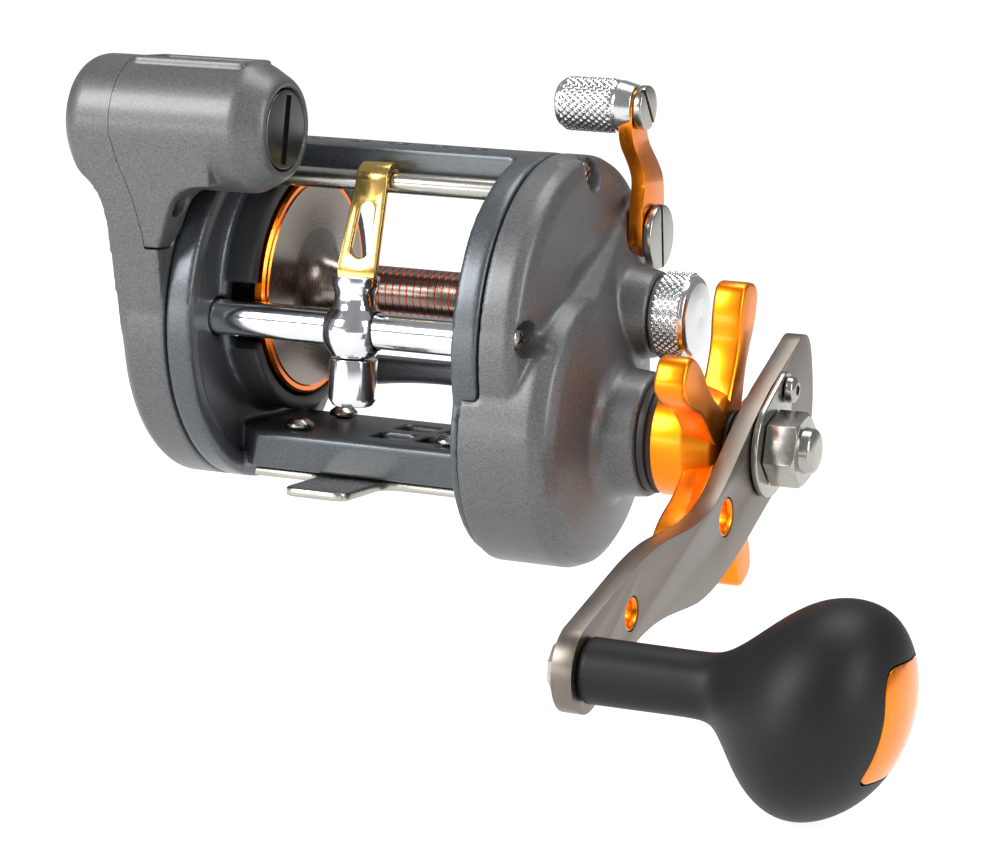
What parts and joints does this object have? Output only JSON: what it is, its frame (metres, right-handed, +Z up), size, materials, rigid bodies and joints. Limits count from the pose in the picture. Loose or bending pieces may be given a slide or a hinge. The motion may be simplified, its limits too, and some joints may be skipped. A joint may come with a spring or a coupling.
{
  "type": "trolling fishing reel",
  "caption": "Levelwind trolling reel with a line counter on an arm, a star drag, a clutch lever and a long crank with a bulb-shaped knob.",
  "frame": {"origin": "centre of the foot's underside, midway between the four foot screws", "axes": "+X along the spool axis towards the crank, -Y towards the rod tip, +Z up from the foot through the spool"},
  "size_m": [0.1994, 0.1508, 0.1183],
  "materials": {
    "gunmetal_paint": "metallic paint, fine speckle",
    "ring_paint": "satin",
    "orange_anodised": "bright anodised",
    "gold_plate": "satin plated",
    "chrome_plate": "mirror",
    "stainless": "polished to satin",
    "crank_steel": "brushed",
    "gear_brass": "machined",
    "soft_grip": "soft touch",
    "black_plastic": "matte",
    "white_plastic": "semi gloss",
    "window": "clear"
  },
  "bodies": {
    "body": {"frame": "ring_paint", "reel_foot": "stainless", "foot_screw_1": "stainless", "foot_screw_2": "stainless", "foot_screw_3": "stainless", "foot_screw_4": "stainless", "left_side_plate": "gunmetal_paint", "counter_housing": "gunmetal_paint", "counter_screw": "stainless", "counter_window": "window", "counter_end_cap": "gunmetal_paint", "counter_axle": "stainless", "handle_side_plate": "gunmetal_paint", "plate_screw_1": "stainless", "plate_screw_2": "stainless", "plate_screw_3": "stainless", "levelwind_tube": "chrome_plate", "guide_rod": "stainless", "left_bearing": "stainless", "right_bearing": "stainless"},
    "spool": {"spool": "orange_anodised", "spool_shaft": "stainless"},
    "crank": {"drive_shaft": "stainless", "main_gear": "gear_brass", "worm_drive_gear": "stainless", "drag_washer": "black_plastic", "drag_sleeve": "stainless", "spring_washers": "black_plastic", "crank_arm": "crank_steel", "arm_ring_1": "orange_anodised", "arm_ring_2": "orange_anodised", "nut_lock_plate": "stainless", "nut_lock_screw": "stainless", "crank_nut": "stainless", "knob_spindle": "stainless"},
    "handle_knob": {"knob": "soft_grip", "knob_inset": "orange_anodised"},
    "star": {"star_drag": "orange_anodised"},
    "yoke": {"clutch_yoke": "stainless"},
    "pinion": {"pinion": "gear_brass"},
    "worm": {"worm_shaft": "stainless", "worm_gear": "stainless"},
    "carriage": {"line_carriage": "chrome_plate", "line_guide": "gold_plate", "pawl_cap": "chrome_plate", "pawl": "gear_brass"},
    "counter_shaft": {"counter_drive_shaft": "stainless"},
    "counter_gear": {"counter_gear": "white_plastic"},
    "units": {"units_wheel": "white_plastic"},
    "tens": {"tens_wheel": "white_plastic"},
    "hundreds": {"hundreds_wheel": "white_plastic"},
    "button": {"reset_button": "chrome_plate"},
    "lever": {"clutch_lever": "orange_anodised", "lever_pivot_screw": "stainless", "lever_grip": "chrome_plate", "lever_grip_screw": "stainless"},
    "cast_knob": {"cast_control_knob": "chrome_plate"}
  },
  "joints": [
    {"name": "crank_turn", "type": "hinge", "parent": "body", "child": "crank", "pos_m": [0, -0.00905, 0.01641], "axis": [1, 0, 0], "continuous": true},
    {"name": "knob_spin", "type": "hinge", "parent": "crank", "child": "handle_knob", "pos_m": [0.105, -0.09684, -0.0111], "axis": [1, 0, 0], "continuous": true},
    {"name": "star_turn", "type": "hinge", "parent": "crank", "child": "star", "pos_m": [0.07, -0.00905, 0.01641], "axis": [1, 0, 0], "range_deg": [-180, 180]},
    {"name": "spool_spin", "type": "hinge", "parent": "body", "child": "spool", "pos_m": [0, 0.0045, 0.0386], "axis": [1, 0, 0], "continuous": true},
    {"name": "lever_throw", "type": "hinge", "parent": "body", "child": "lever", "pos_m": [0.048, 0.0155, 0.0531], "axis": [1, 0, 0], "range_deg": [-50, 0]},
    {"name": "yoke_slide", "type": "slide", "parent": "body", "child": "yoke", "axis": [1, 0, 0], "range_m": [0, 0.0015]},
    {"name": "pinion_spin", "type": "hinge", "parent": "yoke", "child": "pinion", "pos_m": [0.042, 0.0045, 0.0386], "axis": [1, 0, 0], "continuous": true},
    {"name": "worm_spin", "type": "hinge", "parent": "body", "child": "worm", "pos_m": [0, -0.0223, 0.0336], "axis": [1, 0, 0], "continuous": true},
    {"name": "carriage_travel", "type": "slide", "parent": "body", "child": "carriage", "axis": [1, 0, 0], "range_m": [-0.018, 0.0162]},
    {"name": "counter_shaft_spin", "type": "hinge", "parent": "body", "child": "counter_shaft", "pos_m": [-0.0506, -0.0315, 0.06516], "axis": [0.3212, 0.7832, -0.5324], "continuous": true},
    {"name": "counter_gear_spin", "type": "hinge", "parent": "body", "child": "counter_gear", "pos_m": [-0.0478, -0.0315, 0.07315], "axis": [1, 0, 0], "continuous": true},
    {"name": "units_spin", "type": "hinge", "parent": "body", "child": "units", "pos_m": [-0.0233, -0.0315, 0.07315], "axis": [1, 0, 0], "continuous": true},
    {"name": "tens_spin", "type": "hinge", "parent": "body", "child": "tens", "pos_m": [-0.0302, -0.0315, 0.07315], "axis": [1, 0, 0], "continuous": true},
    {"name": "hundreds_spin", "type": "hinge", "parent": "body", "child": "hundreds", "pos_m": [-0.0371, -0.0315, 0.07315], "axis": [1, 0, 0], "continuous": true},
    {"name": "reset_press", "type": "slide", "parent": "body", "child": "button", "axis": [1, 0, 0], "range_m": [0, 0.0008], "stiffness_N_per_m": 300},
    {"name": "cast_knob_turn", "type": "hinge", "parent": "body", "child": "cast_knob", "pos_m": [0.06, 0.0045, 0.0386], "axis": [1, 0, 0], "range_deg": [-180, 180]}
  ],
  "couplings": [
    {"joint": "spool_spin", "follows": "crank_turn", "ratio": -4.2},
    {"joint": "pinion_spin", "follows": "crank_turn", "ratio": -4.2},
    {"joint": "worm_spin", "follows": "crank_turn", "ratio": -2.1667},
    {"joint": "counter_shaft_spin", "follows": "crank_turn", "ratio": 3.15},
    {"joint": "counter_gear_spin", "follows": "crank_turn", "ratio": 0.175},
    {"joint": "units_spin", "follows": "crank_turn", "ratio": 0.175},
    {"joint": "tens_spin", "follows": "crank_turn", "ratio": 0.0175},
    {"joint": "hundreds_spin", "follows": "crank_turn", "ratio": 0.00175},
    {"joint": "yoke_slide", "follows": "lever_throw", "m_per_rad": -0.0017189}
  ]
}
